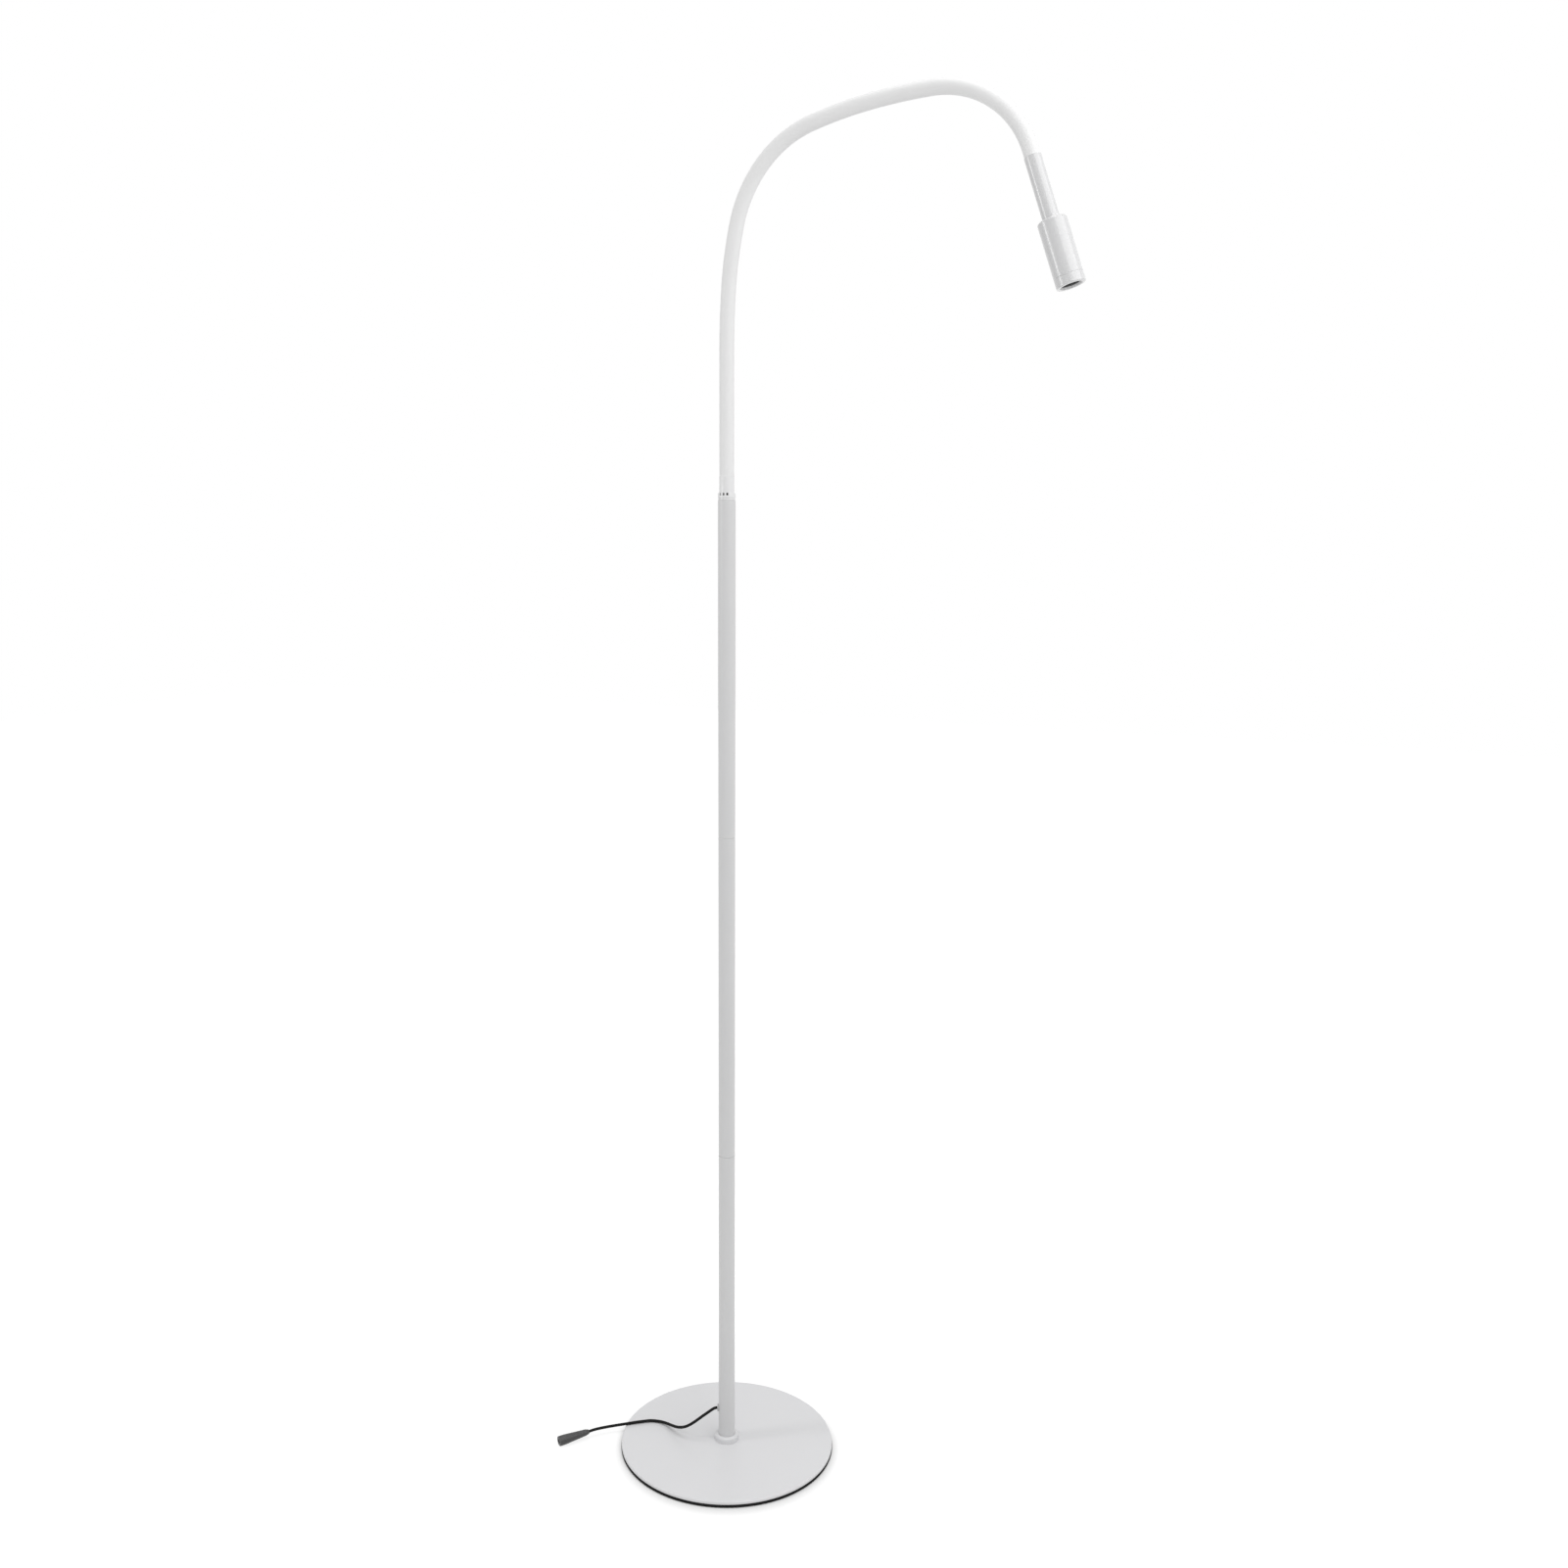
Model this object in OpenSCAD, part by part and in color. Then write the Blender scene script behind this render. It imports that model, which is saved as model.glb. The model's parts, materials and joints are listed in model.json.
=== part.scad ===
// Gooseneck curing lamp on a floor stand.
// A thin steel disc on a foam pad carries a pole of three tubes. A flexible neck in a smooth sleeve
// rises from the pole, arches over along +X and holds a slim lamp head that points down.
// Millimetres, +Z up. The origin is the centre of the pad's underside.

/* [Base] */
// Diameter of the base plate
base_d = 260; // [200:1:320]
// Thickness of the base plate
plate_t = 3.4; // [3.2:0.2:8]
// Radius of the base plate's upper edge
plate_edge_r = 1.5; // [0.5:0.1:2.5]
// Thickness of the foam pad
pad_t = 3.6; // [2:0.2:8]
// How far the pad's rim lies inside the plate's rim
pad_inset = 0.5; // [0.5:0.5:20]
// Width of the collar's ring round the pole
collar_w = 4.9; // [4:0.1:10]
// Height of the collar
collar_h = 7.5; // [5:0.5:14]
// Radius of the collar's upper edge
collar_edge_r = 2.6; // [0.5:0.1:3]
// Diameter of the base screw's shank
screw_d = 6; // [5:0.5:7]
// Diameter of the base screw's countersunk head
screw_head_d = 12; // [10:0.5:15]
// Depth of the base screw's countersunk head
screw_head_h = 2.6; // [2:0.1:2.9]
// How far the base screw reaches into the foot insert
screw_grip = 18; // [8:1:22]

/* [Pole] */
// Outer diameter of the pole's tubes
pole_d = 20; // [19:0.5:26]
// Wall of the pole's tubes
pole_wall = 1.2; // [0.8:0.1:1.6]
// Length of the lower tube
lower_len = 370; // [200:1:600]
// Length of the middle tube
middle_len = 388; // [200:1:600]
// Length of the upper tube
upper_len = 385; // [200:1:600]
// Chamfer on the tubes' outer edges
tube_chamfer = 0.4; // [0.2:0.1:0.7]
// Height of the insert in the pole's foot
insert_h = 26; // [24:1:32]
// How far a coupler reaches into each tube
coupler_reach = 28; // [15:1:60]
// Thickness of the couplers' flange, which parts the tubes
coupler_flange_t = 0.8; // [0.5:0.1:3]
// How far the couplers' flange lies inside the tubes' surface
coupler_flange_inset = 0.6; // [0.3:0.1:0.9]

/* [Neck foot] */
// Height of the flange on the top socket
socket_flange_h = 2.4; // [1.5:0.1:6]
// Depth of the top socket in the upper tube
socket_reach = 26; // [20:1:50]
// Height of the lock ring
ring_h = 5.5; // [4:0.1:10]
// Height of the notches in the lock ring
notch_h = 2.8; // [1:0.1:3]
// Width of a notch
notch_w = 2.2; // [1:0.1:2.8]
// Wall of the lock ring round its washer, which the notches pass through
ring_wall = 1.6; // [1.2:0.1:2]
// Height of the washer in the lock ring
washer_h = 3.2; // [3:0.1:3.5]
// Number of notches in each group on the lock ring
notch_count = 3; // [2:1:4]
// Angle from one notch of a group to the next
notch_pitch = 25.5; // [22:0.5:29]
// Number of groups of notches round the lock ring
notch_groups = 2; // [1:1:3]
// Direction of the first notch, in degrees from +X
notch_turn = -111; // [-180:1:180]
// Diameter of the lower ferrule
lower_ferrule_d = 17; // [16.6:0.1:18]
// Height of the lower ferrule
lower_ferrule_h = 18.5; // [16:0.5:40]
// Diameter of the threaded studs on both ferrules
stud_d = 11; // [9:0.5:12]
// Length of the lower ferrule's stud below the lock ring
stud_len = 16; // [8:1:19]

/* [Neck] */
// Outer diameter of the neck's sleeve
neck_d = 16.5; // [15.5:0.1:18]
// Diameter of the flexible steel core
core_d = 12; // [10:0.1:13]
// Diameter of the lead that runs through the lamp
lead_d = 5; // [3:0.1:6]
// Length of one link of the neck, along its centre line
link_len = 67.5; // [55:0.5:90]
// How far each link curves, in degrees, from the pole to the head
link_turns = [0, 0, 4, 9, 29, 32, 8, 6, 36, 37]; // each from 0 to 40
// How much the radius of a link's domed end exceeds the sleeve's
dome_swell = 0.15; // [0.1:0.05:0.3]
// Gap between a link's domed end and the next link's hollow
dome_gap = 0.35; // [0.25:0.05:0.5]
// Distance from a dome's centre to the rim of the hollow round it
rim_dist = 4.2; // [4:0.1:5]
// How far the core reaches into each ferrule
core_tail = 13; // [6:1:14]
// Length of the neck's straight end, from the last bend to the upper ferrule
neck_end_len = 6.5; // [4:0.5:10]

/* [Head] */
// Diameter of the upper ferrule
upper_ferrule_d = 17.5; // [16.6:0.1:20]
// Length of the upper ferrule
upper_ferrule_len = 65.5; // [30:0.5:120]
// Diameter of the head
head_d = 30; // [29:0.5:40]
// Length of the housing, from its shoulder to the bezel
housing_len = 58; // [56:1:80]
// Wall of the housing
housing_wall = 2.1; // [1.8:0.1:2.6]
// Thickness of the housing's closed end
housing_end_t = 5; // [4:0.5:8]
// Radius of the housing's shoulder
shoulder_r = 2.5; // [0.5:0.1:3.5]
// Height of the nut on the upper ferrule's stud
nut_h = 5; // [3:0.5:7]
// Width of that nut, across its corners
nut_d = 18.5; // [16:0.5:22]
// Height of the heat sink
sink_h = 16; // [10:1:18]
// Number of slots in the heat sink
sink_slots = 8; // [4:1:12]
// Width of a slot
slot_w = 1.6; // [1:0.1:2]
// Depth of a slot, from the heat sink's side
slot_depth = 5; // [2:0.5:6]
// Length of a slot
slot_len = 10; // [6:0.5:14]
// Thickness of the LED board
board_t = 1.6; // [1:0.2:2]
// Width of the LED emitter
emitter_w = 5; // [4.4:0.2:6]
// Thickness of the LED emitter's base
emitter_t = 1.5; // [0.8:0.1:2]
// Diameter of the dome on the LED emitter
emitter_dome_d = 4; // [2:0.2:4.2]
// Height of the reflector
reflector_h = 13; // [10:0.5:14]
// Thickness of the reflector's flange on the board
reflector_flange_t = 2; // [1:0.5:4]
// Thickness of the lens at its rim
lens_t = 3; // [2:0.1:4]
// Rise of the lens's domed back
lens_rise = 2; // [1:0.1:3]
// Depth of the lens behind the head's mouth
lens_recess = 6; // [5.5:0.5:8]
// Width of the lip that holds the lens and its seal
lens_lip = 1; // [0.8:0.1:1.6]
// Thickness of that lip at its edge
lip_t = 0.6; // [0.4:0.1:1]
// Thickness of the lens seal, in front of the lens
seal_t = 3.5; // [2:0.1:4]
// Height of the bezel's visible ring
bezel_h = 10; // [6:0.5:16]
// Width of the bezel's rim at the mouth
bezel_rim = 3.6; // [3:0.1:4.2]
// Height of the bezel's threaded spigot inside the housing
spigot_h = 6; // [4:0.5:8]
// Wall of the bezel's spigot
spigot_wall = 1.2; // [1:0.1:1.8]
// Chamfer round the bezel's mouth
mouth_chamfer = 1; // [0.5:0.1:1.5]

/* [Cord] */
// Diameter of the supply cord
cord_d = 3.5; // [3:0.1:3.9]
// Height of the cord's exit above the floor
cord_z = 48; // [44:1:50]
// Direction in which the cord leaves the pole, in degrees from +X
cord_turn = 207; // [180:1:240]
// Diameter of the grommet's flange
grommet_d = 8.6; // [8:0.1:11]
// How far the grommet's flange stands off the pole
grommet_out = 1.6; // [1:0.1:2]
// Wall of the grommet's sleeve
grommet_wall = 1; // [0.6:0.1:1.2]
// Length of the connector
connector_len = 40; // [30:1:50]
// Diameter of the connector's mouth
connector_d = 12; // [10.5:0.5:12]
// Length of the connector's straight mouth
connector_mouth_len = 8; // [4:0.5:12]
// Length of the boot where the cord enters the connector
boot_len = 4; // [2:0.5:8]
// Diameter of the boot at the cord
boot_d = 5.2; // [5:0.1:6.6]
// Diameter of the boot at the connector's taper
boot_wide_d = 7.6; // [7:0.1:9]
// Chamfer round the connector's mouth
connector_edge = 0.8; // [0.4:0.1:1.5]
// Bore of the connector's socket
socket_d = 5.6; // [5:0.1:7]
// Depth of the connector's socket
socket_depth = 10; // [6:0.5:14]
// Diameter of the connector's pin
pin_d = 2.1; // [1.5:0.1:2.5]

/* [Hidden] */
$fn = 64;
// Radial clearance of a piece that fits in or on another one
fit = 0.15;
// Radial clearance of the lead in its bores
lead_clear = 0.8;
// Extra length by which a cutting tool passes the face that it cuts
over = 1;
// Gap between a threaded stud or shank and its hole
thread_gap = 0.1;

// Heights up the stand
plate_z = pad_t;
floor_z = pad_t + plate_t;
joint_a_z = floor_z + lower_len;
joint_b_z = joint_a_z + coupler_flange_t + middle_len;
pole_top_z = joint_b_z + coupler_flange_t + upper_len;
ring_z = pole_top_z + socket_flange_h;
ferrule_z = ring_z + ring_h;
neck_z = ferrule_z + lower_ferrule_h;

// Radii shared by pieces that fit together
pole_bore_r = pole_d / 2 - pole_wall;
lead_bore_r = lead_d / 2 + lead_clear;
core_r = core_d / 2;
neck_r = neck_d / 2;
dome_r = neck_r + dome_swell;
sleeve_bore_r = core_r + fit;
head_bore_r = head_d / 2 - housing_wall;
head_fit_r = head_bore_r - fit;
spigot_bore_r = head_fit_r - spigot_wall;
lens_r = spigot_bore_r - fit;
lens_window_r = spigot_bore_r - lens_lip;
washer_pocket_r = pole_d / 2 - ring_wall;

// Stations along the head, measured from the neck's last bend
housing_z = neck_end_len + upper_ferrule_len;
nut_z = housing_z + housing_end_t;
bezel_z = housing_z + housing_len;
mouth_z = bezel_z + bezel_h;
spigot_z = bezel_z - spigot_h;
lens_z = mouth_z - lens_recess - lens_t;
seal_z = lens_z + lens_t;
lip_z = seal_z + seal_t;
reflector_z = lens_z - reflector_h;
board_z = reflector_z - board_t;
sink_z = board_z - sink_h;

// Places of the neck's links: each starts where the last one ends, turned by all the turns before it
links = len(link_turns);
function heading(k) = k == 0 ? 0 : heading(k - 1) + link_turns[k - 1];
function bend_r(turn) = link_len * 180 / (PI * turn);
function chord(turn) =
    turn == 0 ? [0, 0, link_len] : [bend_r(turn) * (1 - cos(turn)), 0, bend_r(turn) * sin(turn)];
function turned(v, a) = [v.x * cos(a) + v.z * sin(a), v.y, v.z * cos(a) - v.x * sin(a)];
function link_start(k) =
    k == 0 ? [0, 0, neck_z] : link_start(k - 1) + turned(chord(link_turns[k - 1]), heading(k - 1));

// The grommet's sleeve, round the cord
grommet_sleeve_d = cord_d + 2 * (fit + grommet_wall);

// Route of the supply cord: distance out from the pole, sideways, and height
cord_start = pole_d / 2 + grommet_out;
cord_route = [
    [cord_start, 0, cord_z], [15, 0, 47.2], [19, 0.5, 45], [24, 1, 41.6], [30, 1.5, 37.4], [36, 2, 33],
    [42, 2, 28.6], [48, 1, 24.4], [53.5, -1.5, 21], [58.5, -5.5, 18.2], [63, -10.5, 15.8],
    [67, -16, 13.8], [71, -21.5, 12], [75.5, -27, 10.5], [81, -31.5, 9.5], [88, -34.5, 9],
    [96, -35.5, 9], [105, -34, 9], [114, -32, 9], [123, -29.5, 9], [132, -27.2, 8.9],
    [141, -25, 8.7], [150, -22.6, 8.5], [158, -20.2, 8.25], [165.5, -17.4, 8], [172.3, -13.8, 7.7]
];
cord_sides = 8;
cord_end = cord_route[len(cord_route) - 1];
cord_last = cord_end - cord_route[len(cord_route) - 2];

function unit(v) = v / norm(v);
function route_dir(p, i) = unit(p[min(i + 1, len(p) - 1)] - p[max(i - 1, 0)]);
function ring_at(p, i, r) =
    let (t = route_dir(p, i), side = unit(cross(t, [0, 0, 1])), up = cross(side, t))
    [for (j = [0:cord_sides - 1]) let (a = 360 * j / cord_sides) p[i] + r * (cos(a) * side + sin(a) * up)];

// Shapes that several pieces share

// A disc whose upper edge is rounded
module round_top(d, h, e) {
    cylinder(d = d, h = h - e);
    cylinder(d = d - 2 * e, h = h);
    translate([0, 0, h - e])
        rotate_extrude()
            translate([d / 2 - e, 0])
                circle(r = e);
}

// A tube with a small chamfer on both outer edges
module chamfered_tube(len) {
    r = pole_d / 2;
    c = tube_chamfer;
    rotate_extrude()
        polygon([
            [pole_bore_r, 0], [r - c, 0], [r, c],
            [r, len - c], [r - c, len], [pole_bore_r, len]
        ]);
}

// A stud that joins two tubes, with a thin flange between them
module coupler() {
    difference() {
        union() {
            translate([0, 0, -coupler_reach])
                cylinder(r = pole_bore_r - fit, h = 2 * coupler_reach + coupler_flange_t);
            cylinder(d = pole_d - 2 * coupler_flange_inset, h = coupler_flange_t);
        }
        translate([0, 0, -coupler_reach - over])
            cylinder(r = lead_bore_r, h = 2 * coupler_reach + coupler_flange_t + 2 * over);
    }
}

// A round bar along one link of the neck, from its start at the origin
module link_bar(k, r) {
    turn = link_turns[k];
    if (turn == 0)
        cylinder(r = r, h = link_len);
    else
        translate([bend_r(turn), 0, 0])
            rotate([90, 0, 0])
                rotate([0, 0, 180 - turn])
                    rotate_extrude(angle = turn)
                        translate([bend_r(turn), 0])
                            circle(r = r);
}

// Puts what follows at the start of a link, or at the end of the last one
module at_link(k) {
    translate(link_start(k))
        rotate([0, heading(k), 0])
            children();
}

// Puts what follows at the far end of a link, in that link's own frame
module at_link_end(k) {
    translate(chord(link_turns[k]))
        rotate([0, link_turns[k], 0])
            children();
}

// The space round a link's start that the last link's dome turns in
module hollow(k) {
    if (k > 0)
        sphere(r = dome_r + dome_gap);
}

// Puts what follows at the cord's exit, with +Z pointing out of the pole
module at_exit() {
    rotate([0, 0, cord_turn])
        translate([0, 0, cord_z])
            rotate([0, 90, 0])
                children();
}

// Puts what follows at the cord's end, with +Z along the cord
module at_cord_end() {
    rotate([0, 0, cord_turn])
        translate(cord_end)
            rotate([0, 0, atan2(cord_last.y, cord_last.x)])
                rotate([0, 90 - asin(cord_last.z / norm(cord_last)), 0])
                    children();
}

// Base

module base_pad() {
    color("#1b1b1c")
        cylinder(d = base_d - 2 * pad_inset, h = pad_t);
}

module base_plate() {
    color("#dcdcdf")
        translate([0, 0, plate_z])
            difference() {
                round_top(base_d, plate_t, plate_edge_r);
                translate([0, 0, -over])
                    cylinder(d = screw_d + 2 * thread_gap, h = plate_t + 2 * over);
                cylinder(d1 = screw_head_d + 2 * thread_gap, d2 = screw_d + 2 * thread_gap, h = screw_head_h);
            }
}

module base_collar() {
    color("#d8d8db")
        translate([0, 0, floor_z])
            difference() {
                round_top(pole_d + 2 * collar_w, collar_h, collar_edge_r);
                translate([0, 0, -over])
                    cylinder(d = pole_d + 2 * thread_gap, h = collar_h + 2 * over);
            }
}

module base_screw() {
    color("#8d8f93")
        translate([0, 0, plate_z]) {
            cylinder(d1 = screw_head_d, d2 = screw_d, h = screw_head_h);
            cylinder(d = screw_d, h = plate_t + screw_grip);
        }
}

module foot_insert() {
    color("#9a9ca0")
        translate([0, 0, floor_z])
            difference() {
                cylinder(r = pole_bore_r - fit, h = insert_h);
                translate([0, 0, -over])
                    cylinder(d = screw_d + 2 * thread_gap, h = screw_grip + 2 * over);
            }
}

// Pole

module pole_lower() {
    color("#d2d2d4")
        difference() {
            translate([0, 0, floor_z])
                chamfered_tube(lower_len);
            at_exit()
                cylinder(d = grommet_sleeve_d + 2 * fit, h = pole_d);
        }
}

module pole_middle() {
    color("#d2d2d4")
        translate([0, 0, joint_a_z + coupler_flange_t])
            chamfered_tube(middle_len);
}

module pole_upper() {
    color("#d6d6d8")
        translate([0, 0, joint_b_z + coupler_flange_t])
            chamfered_tube(upper_len);
}

module lower_coupler() {
    color("#8d8f93")
        translate([0, 0, joint_a_z])
            coupler();
}

module upper_coupler() {
    color("#8d8f93")
        translate([0, 0, joint_b_z])
            coupler();
}

// Foot of the neck

module top_socket() {
    color("#c9c9cc")
        translate([0, 0, pole_top_z])
            difference() {
                union() {
                    translate([0, 0, -socket_reach])
                        cylinder(r = pole_bore_r - fit, h = socket_reach);
                    cylinder(d = pole_d - 2 * tube_chamfer, h = socket_flange_h);
                }
                translate([0, 0, socket_flange_h - stud_len - over])
                    cylinder(d = stud_d + 2 * thread_gap, h = stud_len + 2 * over);
                translate([0, 0, -socket_reach - over])
                    cylinder(r = lead_bore_r, h = socket_reach + socket_flange_h);
            }
}

// Notched round its upper edge, with a pocket for the washer behind the notches
module lock_ring() {
    color("#e4e4e6")
        translate([0, 0, ring_z])
            difference() {
                cylinder(d = pole_d, h = ring_h);
                translate([0, 0, -over])
                    cylinder(d = stud_d + 2 * thread_gap, h = ring_h + 2 * over);
                translate([0, 0, ring_h - washer_h])
                    cylinder(r = washer_pocket_r, h = washer_h + over);
                for (group = [0:notch_groups - 1], i = [0:notch_count - 1])
                    rotate([0, 0, notch_turn + 360 * group / notch_groups + notch_pitch * i])
                        translate([washer_pocket_r - over, -notch_w / 2, ring_h - notch_h])
                            cube([ring_wall + 2 * over, notch_w, notch_h + over]);
            }
}

module ring_washer() {
    color("#18181a")
        translate([0, 0, ferrule_z - washer_h])
            difference() {
                cylinder(r = washer_pocket_r - fit, h = washer_h);
                translate([0, 0, -over])
                    cylinder(d = stud_d + 2 * thread_gap, h = washer_h + 2 * over);
            }
}

module lower_ferrule() {
    color("#e6e6e8")
        translate([0, 0, ferrule_z])
            difference() {
                union() {
                    round_top(lower_ferrule_d, lower_ferrule_h, tube_chamfer);
                    translate([0, 0, -ring_h - stud_len])
                        cylinder(d = stud_d, h = ring_h + stud_len + over);
                }
                translate([0, 0, lower_ferrule_h - core_tail - over])
                    cylinder(r = core_r + fit, h = core_tail + 2 * over);
                translate([0, 0, -ring_h - stud_len - over])
                    cylinder(r = lead_bore_r, h = ring_h + stud_len + lower_ferrule_h);
            }
}

module pole_lead() {
    color("#3a3a3c") {
        translate([0, 0, cord_z])
            cylinder(d = lead_d, h = neck_z - cord_z);
        at_exit()
            cylinder(d = cord_d, h = cord_start);
    }
}

// Neck

// The sleeve of a link: domed at its far end and hollow at its start, so the links turn on each other
module neck_sleeve(k) {
    color("#ececee")
        at_link(k)
            difference() {
                union() {
                    link_bar(k, neck_r);
                    if (k < links - 1)
                        translate(chord(link_turns[k]))
                            sphere(r = dome_r);
                    else
                        at_link_end(k)
                            translate([0, 0, -over])
                                cylinder(r = neck_r, h = neck_end_len + over);
                }
                link_bar(k, sleeve_bore_r);
                at_link_end(k)
                    translate([0, 0, -over])
                        cylinder(r = k < links - 1 ? lead_bore_r : sleeve_bore_r, h = neck_d);
                hollow(k);
                if (k > 0)
                    translate([0, 0, rim_dist - neck_d])
                        cylinder(r = neck_d, h = neck_d);
            }
}

// The flexible steel core inside a link; the first and the last one reach into the ferrules
module neck_core(k) {
    tail_r = core_r - 2 * fit;
    color("#9b9da1")
        at_link(k)
            difference() {
                union() {
                    link_bar(k, core_r);
                    if (k == 0)
                        translate([0, 0, -core_tail])
                            cylinder(r = tail_r, h = core_tail + over);
                    if (k == links - 1)
                        at_link_end(k)
                            translate([0, 0, -over]) {
                                cylinder(r = core_r, h = neck_end_len + over);
                                cylinder(r = tail_r, h = neck_end_len + core_tail + over);
                            }
                }
                link_bar(k, lead_bore_r);
                if (k == 0)
                    translate([0, 0, -core_tail - over])
                        cylinder(r = lead_bore_r, h = core_tail + 2 * over);
                if (k == links - 1)
                    at_link_end(k)
                        translate([0, 0, -over])
                            cylinder(r = lead_bore_r + fit, h = neck_end_len + core_tail + 2 * over);
                hollow(k);
            }
}

// The lead inside a link
module neck_lead(k) {
    color("#3a3a3c")
        at_link(k)
            difference() {
                link_bar(k, lead_d / 2);
                hollow(k);
            }
}

// Head

module upper_ferrule() {
    r = upper_ferrule_d / 2;
    c = tube_chamfer;
    top = upper_ferrule_len;
    stud_top = nut_z + nut_h - neck_end_len;
    color("#d4d4d6")
        at_link(links)
            translate([0, 0, neck_end_len])
                difference() {
                    union() {
                        rotate_extrude()
                            polygon([[0, 0], [r - c, 0], [r, c], [r, top], [0, top]]);
                        cylinder(d = stud_d, h = stud_top);
                    }
                    translate([0, 0, -over])
                        cylinder(r = core_r + fit, h = core_tail + 2 * over);
                    cylinder(r = lead_bore_r, h = stud_top + over);
                }
}

module head_lead() {
    color("#3a3a3c")
        at_link(links)
            cylinder(d = lead_d, h = board_z);
}

module head_housing() {
    color("#dadadc")
        at_link(links)
            difference() {
                translate([0, 0, bezel_z])
                    rotate([180, 0, 0])
                        round_top(head_d, housing_len, shoulder_r);
                translate([0, 0, nut_z])
                    cylinder(r = head_bore_r, h = housing_len);
                translate([0, 0, housing_z - over])
                    cylinder(d = stud_d + 2 * thread_gap, h = housing_end_t + 2 * over);
            }
}

module ferrule_nut() {
    color("#8d8f93")
        at_link(links)
            translate([0, 0, nut_z])
                difference() {
                    cylinder(d = nut_d, h = nut_h, $fn = 6);
                    translate([0, 0, -over])
                        cylinder(d = stud_d + 2 * thread_gap, h = nut_h + 2 * over);
                }
}

module heat_sink() {
    color("#a9abaf")
        at_link(links)
            translate([0, 0, sink_z])
                difference() {
                    cylinder(r = head_fit_r, h = sink_h);
                    translate([0, 0, -over])
                        cylinder(r = lead_bore_r, h = sink_h + 2 * over);
                    for (i = [0:sink_slots - 1])
                        rotate([0, 0, 360 * i / sink_slots])
                            translate([head_fit_r - slot_depth, -slot_w / 2, -over])
                                cube([slot_depth + over, slot_w, slot_len + over]);
                }
}

module led_board() {
    color("#e9ebe6")
        at_link(links)
            translate([0, 0, board_z])
                cylinder(r = head_fit_r - fit, h = board_t);
}

module led_emitter() {
    color("#d9d27a")
        at_link(links)
            translate([0, 0, reflector_z]) {
                translate([-emitter_w / 2, -emitter_w / 2, 0])
                    cube([emitter_w, emitter_w, emitter_t]);
                translate([0, 0, emitter_t])
                    intersection() {
                        sphere(d = emitter_dome_d);
                        cylinder(d = emitter_w, h = emitter_dome_d);
                    }
            }
}

module reflector() {
    color("#202022")
        at_link(links)
            translate([0, 0, reflector_z])
                difference() {
                    union() {
                        cylinder(r = lens_r, h = reflector_h);
                        cylinder(r = head_fit_r, h = reflector_flange_t);
                    }
                    translate([0, 0, -over])
                        cylinder(r = emitter_w, h = 2 * over);
                    cylinder(r1 = emitter_w, r2 = lens_window_r, h = reflector_h);
                    translate([0, 0, reflector_h - lens_rise])
                        cylinder(r = lens_window_r, h = lens_rise + over);
                }
}

// Flat in front and domed behind
module lens() {
    dome_edge_r = lens_window_r - fit;
    back_r = (pow(dome_edge_r, 2) + pow(lens_rise, 2)) / (2 * lens_rise);
    color([0.8, 0.85, 0.9, 0.5])
        at_link(links)
            translate([0, 0, lens_z]) {
                cylinder(r = lens_r, h = lens_t);
                intersection() {
                    translate([0, 0, back_r - lens_rise])
                        sphere(r = back_r);
                    translate([0, 0, -lens_rise])
                        cylinder(r = dome_edge_r, h = lens_rise + over);
                }
            }
}

module lens_seal() {
    color("#151516")
        at_link(links)
            translate([0, 0, seal_z])
                difference() {
                    cylinder(r = lens_r, h = seal_t);
                    translate([0, 0, -over])
                        cylinder(r = lens_window_r, h = seal_t + 2 * over);
                }
}

// A ring on a spigot: the lens and its seal lie in its bore, on the lip, and the mouth widens from there
module front_bezel() {
    mouth_r = head_d / 2 - bezel_rim;
    color("#dededf")
        at_link(links)
            difference() {
                union() {
                    translate([0, 0, spigot_z])
                        cylinder(r = head_fit_r, h = spigot_h + over);
                    translate([0, 0, bezel_z])
                        round_top(head_d, bezel_h, mouth_chamfer);
                }
                translate([0, 0, spigot_z - over])
                    cylinder(r = spigot_bore_r, h = lip_z - spigot_z + over);
                translate([0, 0, lip_z - over])
                    cylinder(r = lens_window_r, h = mouth_z - lip_z + over);
                translate([0, 0, lip_z + lip_t])
                    cylinder(r1 = lens_window_r, r2 = mouth_r, h = mouth_z - lip_z - lip_t);
                translate([0, 0, mouth_z])
                    cylinder(r = mouth_r, h = over);
            }
}

// Cord

// A flange that lies on the pole, on a sleeve that lines the hole in the tube's wall
module cord_grommet() {
    color("#b9b9bc")
        at_exit()
            difference() {
                union() {
                    difference() {
                        cylinder(d = grommet_d, h = cord_start);
                        rotate([0, 90, 0])
                            cylinder(d = pole_d + 2 * fit, h = 2 * grommet_d, center = true);
                    }
                    translate([0, 0, pole_bore_r])
                        cylinder(d = grommet_sleeve_d, h = cord_start - pole_bore_r);
                }
                cylinder(d = cord_d + 2 * fit, h = cord_start + over);
            }
}

module supply_cord() {
    n = len(cord_route);
    s = cord_sides;
    rings = [for (i = [0:n - 1]) each ring_at(cord_route, i, cord_d / 2)];
    sides = [
        for (i = [0:n - 2], j = [0:s - 1])
            let (a = i * s + j, b = i * s + (j + 1) % s)
            each [[a, a + s, b], [b, a + s, b + s]]
    ];
    caps = [
        for (j = [1:s - 2])
            each [[0, j, j + 1], [(n - 1) * s, (n - 1) * s + j + 1, (n - 1) * s + j]]
    ];
    color("#121213")
        rotate([0, 0, cord_turn])
            polyhedron(points = rings, faces = concat(sides, caps));
}

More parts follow.
